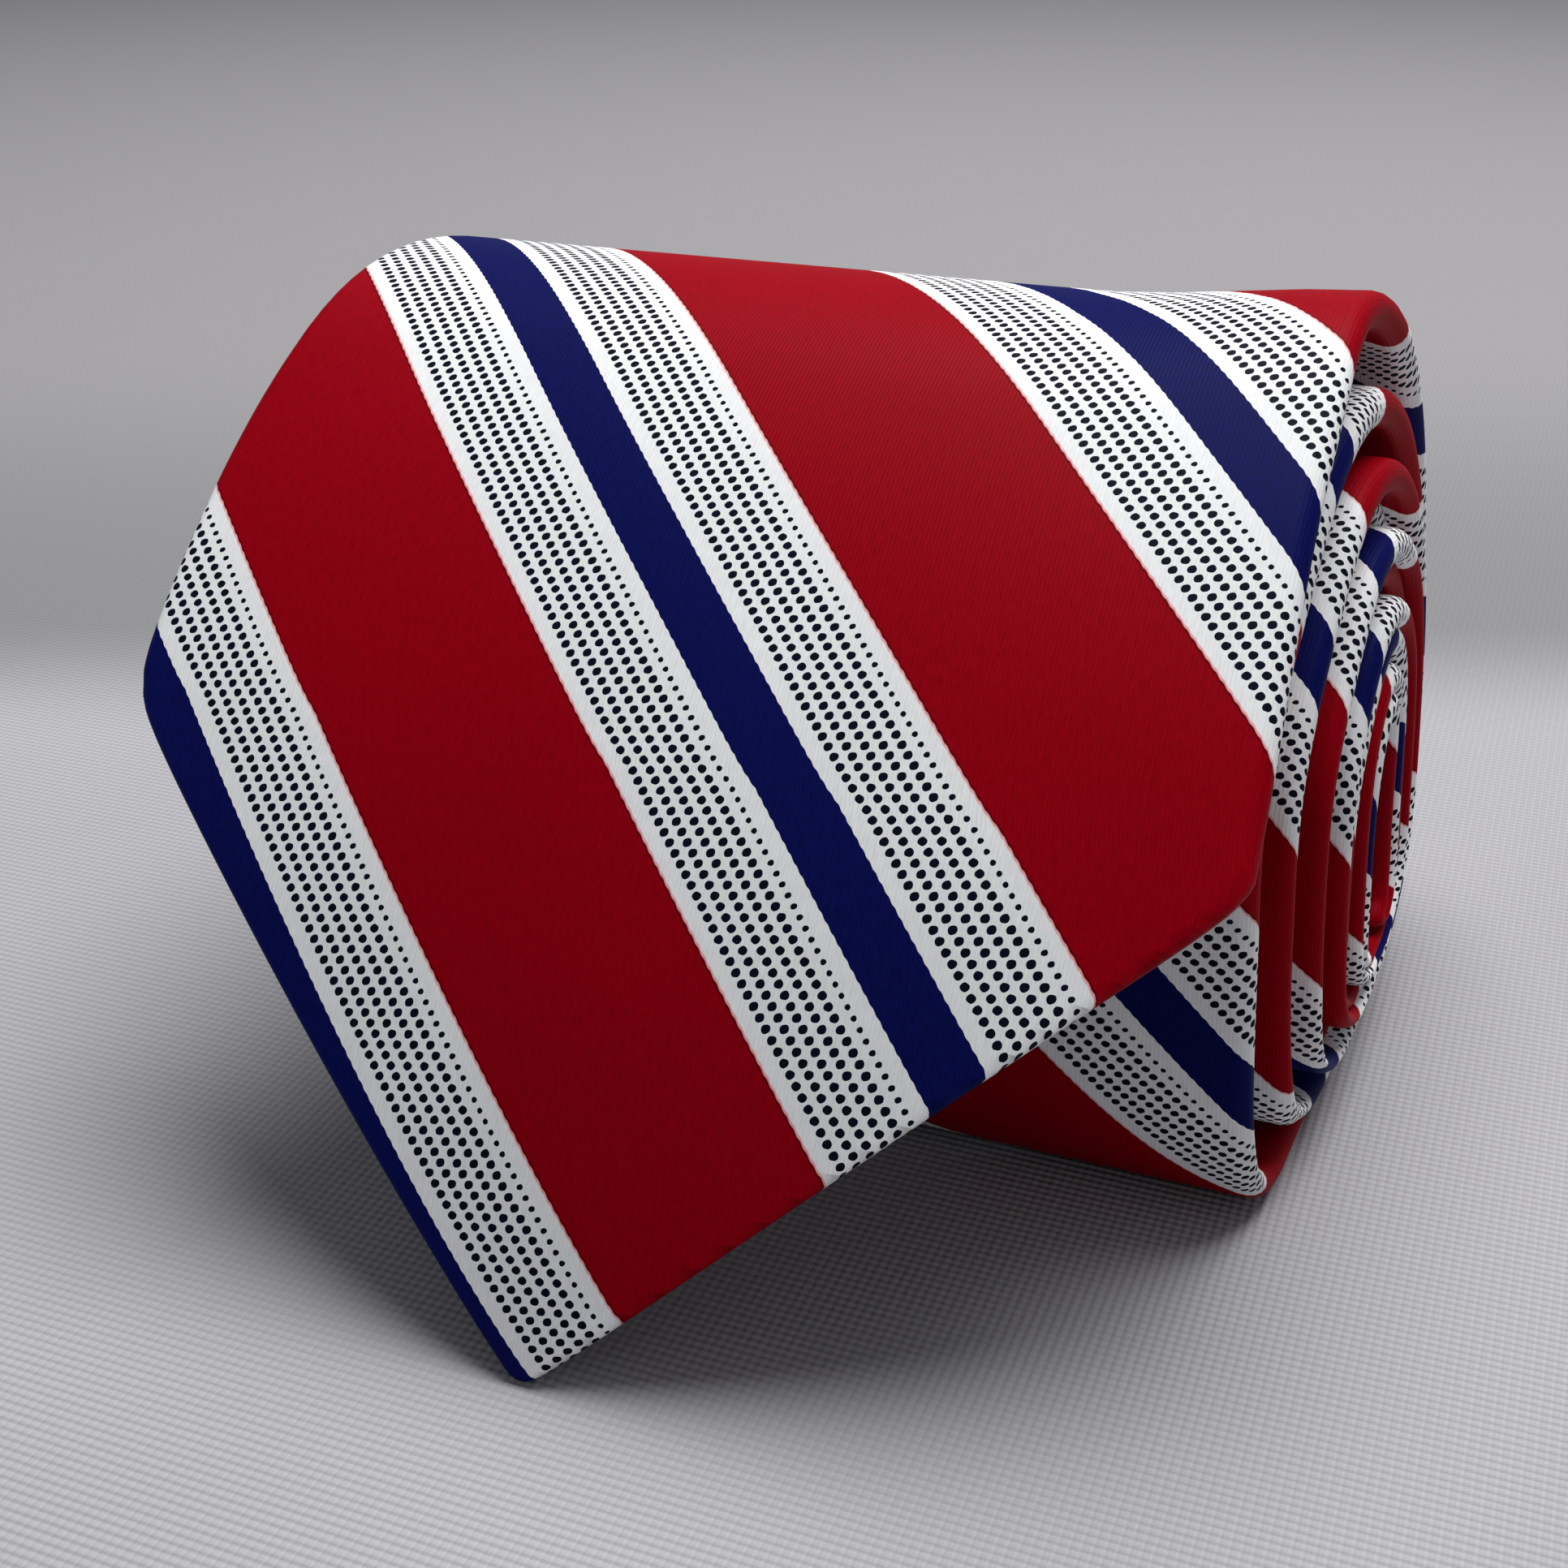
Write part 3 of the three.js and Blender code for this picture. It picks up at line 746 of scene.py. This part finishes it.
stitched = np.arange(BLADE_HEMS_MEET, TAIL_TACK_PLACE + TACK_MARGIN, STITCH_PITCH / STITCH_STEPS)
phase = 2 * math.pi * (stitched - BLADE_HEMS_MEET) / STITCH_PITCH
sway, dip = STITCH_SWAY * np.sin(phase), STITCH_DIP * np.cos(2 * phase)
threads("slip_stitch", [np.stack([stitched, sway, STITCH_DEPTH - dip], -1)], THREAD_RADIUS)

# ==== The bar tacks ====
# Each is a close row of the same thread, sewn across the place where the hems meet, over two
# long threads laid first.
TACK_LENGTH, TACK_WIDTH = 9.0, 1.6
TACK_THREADS, TACK_SLANT = 15, 0.2
TACK_DEPTH, TACK_ROUNDING = 2.18, 0.12
CORE_DEPTH, CORE_ASIDE = 2.02, 0.4
TACK_POINTS, CORE_POINTS = 7, 9

for name, spot in (("blade_bar_tack", BLADE_TACK_PLACE), ("tail_bar_tack", TAIL_TACK_PLACE)):
    paths = []
    over = np.linspace(-1, 1, TACK_POINTS)
    for i in range(TACK_THREADS):
        across = -TACK_LENGTH / 2 + TACK_LENGTH * (i + 0.5) / TACK_THREADS + TACK_SLANT * over
        depth = TACK_DEPTH - TACK_ROUNDING * over ** 4
        paths.append(np.stack([spot + over * TACK_WIDTH / 2, across, depth], -1))
    core = np.linspace(-1, 1, CORE_POINTS)
    for aside in (-CORE_ASIDE, CORE_ASIDE):
        laid = [spot + aside + 0 * core, core * TACK_LENGTH / 2, CORE_DEPTH + 0 * core]
        paths.append(np.stack(laid, -1))
    threads(name, paths, THREAD_RADIUS)

# ==== The keeper loop ====
# A narrow strip of the same silk on the back of the blade, that the narrow end slips through. A
# row of small stitches holds each end, over one thread laid along it.
KEEPER_ANGLE = 268.0
KEEPER_LENGTH, KEEPER_WIDTH = 40.0, 12.0
TRIM_FRONT, TRIM_BACK = 1.96, 2.24
TRIM_THREAD_RADIUS = 0.13
TRIM_STITCH_FROM, TRIM_STITCH_PITCH = 0.6, 1.25
TRIM_STITCH_GAP, TRIM_STITCH_LENGTH, TRIM_STITCH_SLANT = 0.35, 1.1, 0.5
TRIM_STITCH_DEPTH, TRIM_STITCH_ARCH = 2.14, 0.1
TRIM_STITCH_POINTS, LAID_POINTS = 6, 9
LAID_GAP, LAID_DEPTH = 0.9, 2.02


def trim_piece(name, spot, length, width, material, slot):
    """A strip laid across the back, with its middle at spot along the tie."""
    def half(s):
        return length / 2 + 0 * s

    start, end = spot - width / 2, spot + width / 2
    trim = strip_piece(name, start, end, half, TRIM_FRONT, TRIM_BACK, material)
    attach(trim, "roll")


def trim_stitches(name, spot, length, width, side):
    start, end = spot - width / 2, spot + width / 2
    t = np.linspace(0, 1, TRIM_STITCH_POINTS)
    across = side * (length / 2 + TRIM_STITCH_GAP + TRIM_STITCH_LENGTH * t)
    depth = TRIM_STITCH_DEPTH - TRIM_STITCH_ARCH * (2 * t - 1) ** 2
    paths = [
        np.stack([s + TRIM_STITCH_SLANT * t, across, depth], -1)
        for s in np.arange(start + TRIM_STITCH_FROM, end, TRIM_STITCH_PITCH)
    ]
    laid = np.linspace(start, end, LAID_POINTS)
    aside = side * (length / 2 + LAID_GAP)
    paths.append(np.stack([laid, aside + 0 * laid, LAID_DEPTH + 0 * laid], -1))
    threads(name, paths, TRIM_THREAD_RADIUS)


keeper = (wide_place(KEEPER_ANGLE), KEEPER_LENGTH, KEEPER_WIDTH)
trim_piece("keeper_loop", *keeper, SILK, "silk")
trim_stitches("keeper_stitches_left", *keeper, -1)
trim_stitches("keeper_stitches_right", *keeper, 1)

# ==== The care label ====
# A small label of woven tape, left blank, between the keeper and the wide point, with a grey rim
# at both ends. It is sewn on in the same way.
LABEL_ANGLE = 75.0
LABEL_LENGTH, LABEL_WIDTH = 16.0, 18.0
LABEL_RIM = 1.2


def label_material():
    w = Weave("woven label")
    across, along = w.cloth()
    tape = w.math("MULTIPLY", w.wave(across, 0.4), w.wave(along, 0.4))
    share = w.math("MULTIPLY_ADD", tape, 0.5, 0.5)
    plain = w.mix(share, linear(228, 228, 224), linear(246, 246, 244))
    rim = w.math("GREATER_THAN", w.math("ABSOLUTE", across), LABEL_LENGTH / 2 - LABEL_RIM)
    w.finish(w.mix(rim, plain, linear(206, 208, 214)), 0.6)
    w.bump(tape, 0.00005)
    return w.material


label = (wide_place(LABEL_ANGLE), LABEL_LENGTH, LABEL_WIDTH)
trim_piece("care_label", *label, label_material(), "label")
trim_stitches("label_stitches_left", *label, -1)
trim_stitches("label_stitches_right", *label, 1)

# ==== The floor ====
# Pale cloth with a fine raised weave. It stays flat; behind the tie, painted shade stands in for a
# backdrop: a darker band where it would bend up, and a lighter grey beyond. The painted bend lies
# square to the view. The floor is just clear of the silk.
FLOOR_HALF = 3.0
FLOOR_DROP = 0.0004
FLOOR_PITCH, FLOOR_CLOUDING = 1.5, 0.01
BACKDROP_TURN = math.radians(21.4)
BEND_SHADE_BAND, BACKDROP_SHADE_BAND = (44.0, 84.0), (90.0, 230.0)


def floor_material():
    w = Weave("pale floor cloth")
    spot = w.node("ShaderNodeTexCoord").outputs["Object"]
    parts = w.node("ShaderNodeSeparateXYZ")
    w.put(spot, parts.inputs[0])
    x, y = [w.math("MULTIPLY", parts.outputs[k], 1000.0) for k in (0, 1)]
    one_way = w.wave(w.math("ADD", x, y), FLOOR_PITCH)
    other_way = w.wave(w.math("SUBTRACT", x, y), FLOOR_PITCH)
    pimple = w.math("MULTIPLY", one_way, other_way)
    away = w.math("MULTIPLY", y, math.cos(BACKDROP_TURN))
    behind = w.math("MULTIPLY_ADD", x, -math.sin(BACKDROP_TURN), away)

    def beyond(start, end):
        step = w.node("ShaderNodeMapRange", interpolation_type="SMOOTHSTEP")
        w.put(behind, step.inputs["Value"])
        step.inputs["From Min"].default_value = start
        step.inputs["From Max"].default_value = end
        return step.outputs[0]

    cloud = w.noise(x, y, FLOOR_CLOUDING)
    colour = w.mix(cloud, linear(154, 153, 157), linear(181, 180, 184))
    # Painted shade: darker where the backdrop would bend up, then a grey a little lighter beyond,
    # for an upright backdrop lit less than the floor.
    colour = w.mix(beyond(*BEND_SHADE_BAND), colour, linear(127, 127, 129))
    colour = w.mix(beyond(*BACKDROP_SHADE_BAND), colour, linear(144, 142, 144))
    colour = w.mix(w.math("MULTIPLY_ADD", pimple, 0.07, 0.07), colour, linear(70, 70, 74))
    w.finish(colour, 0.9)
    w.bump(pimple, 0.00012, 0.8)
    return w.material


floor_mesh = bpy.data.meshes.new("floor")
corners = [(FLOOR_HALF * x, FLOOR_HALF * y, 0) for x, y in ((-1, -1), (1, -1), (1, 1), (-1, 1))]
floor_mesh.from_pydata(corners, [], [(0, 1, 2, 3)])
floor_mesh.materials.append(floor_material())
floor = bpy.data.objects.new("floor", floor_mesh)
floor.location.z = -FLOOR_DROP
bpy.context.scene.collection.objects.link(floor)

# ==== Light and camera ====
# One wide soft light from above and behind, and even pale light from all round. The camera
# stands in front, a little to the right, and looks down at the roll.
SKY, SKY_STRENGTH = (0.92, 0.95, 1.0, 1), 0.24
LAMP_PLACE, LAMP_AIM = Vector((0.06, 0.32, 0.95)), Vector((0, 0, 0.03))
LAMP_SIZE, LAMP_POWER = 0.8, 15.5
CAMERA_PLACE = (0.05844, -0.16949, 0.10448)
CAMERA_TILT, CAMERA_TURN = math.radians(63.75), math.radians(21.39)
LENS, SENSOR_WIDTH = 48.2, 36.0

world = bpy.data.worlds.new("studio")
world.use_nodes = True
world.node_tree.nodes["Background"].inputs["Color"].default_value = SKY
world.node_tree.nodes["Background"].inputs["Strength"].default_value = SKY_STRENGTH
bpy.context.scene.world = world

lamp = bpy.data.lights.new("ceiling", "AREA")
lamp.shape, lamp.size, lamp.energy = "DISK", LAMP_SIZE, LAMP_POWER
light = bpy.data.objects.new("ceiling", lamp)
light.location = LAMP_PLACE
light.rotation_euler = (LAMP_PLACE - LAMP_AIM).to_track_quat("Z", "Y").to_euler()
bpy.context.scene.collection.objects.link(light)

camera_data = bpy.data.cameras.new("camera")
camera_data.sensor_width, camera_data.lens = SENSOR_WIDTH, LENS
camera_data.clip_start, camera_data.clip_end = 0.01, 20
camera = bpy.data.objects.new("camera", camera_data)
camera.location = CAMERA_PLACE
camera.rotation_euler = (CAMERA_TILT, 0, CAMERA_TURN)
bpy.context.scene.collection.objects.link(camera)
bpy.context.scene.camera = camera
bpy.context.scene.view_settings.view_transform = "Standard"
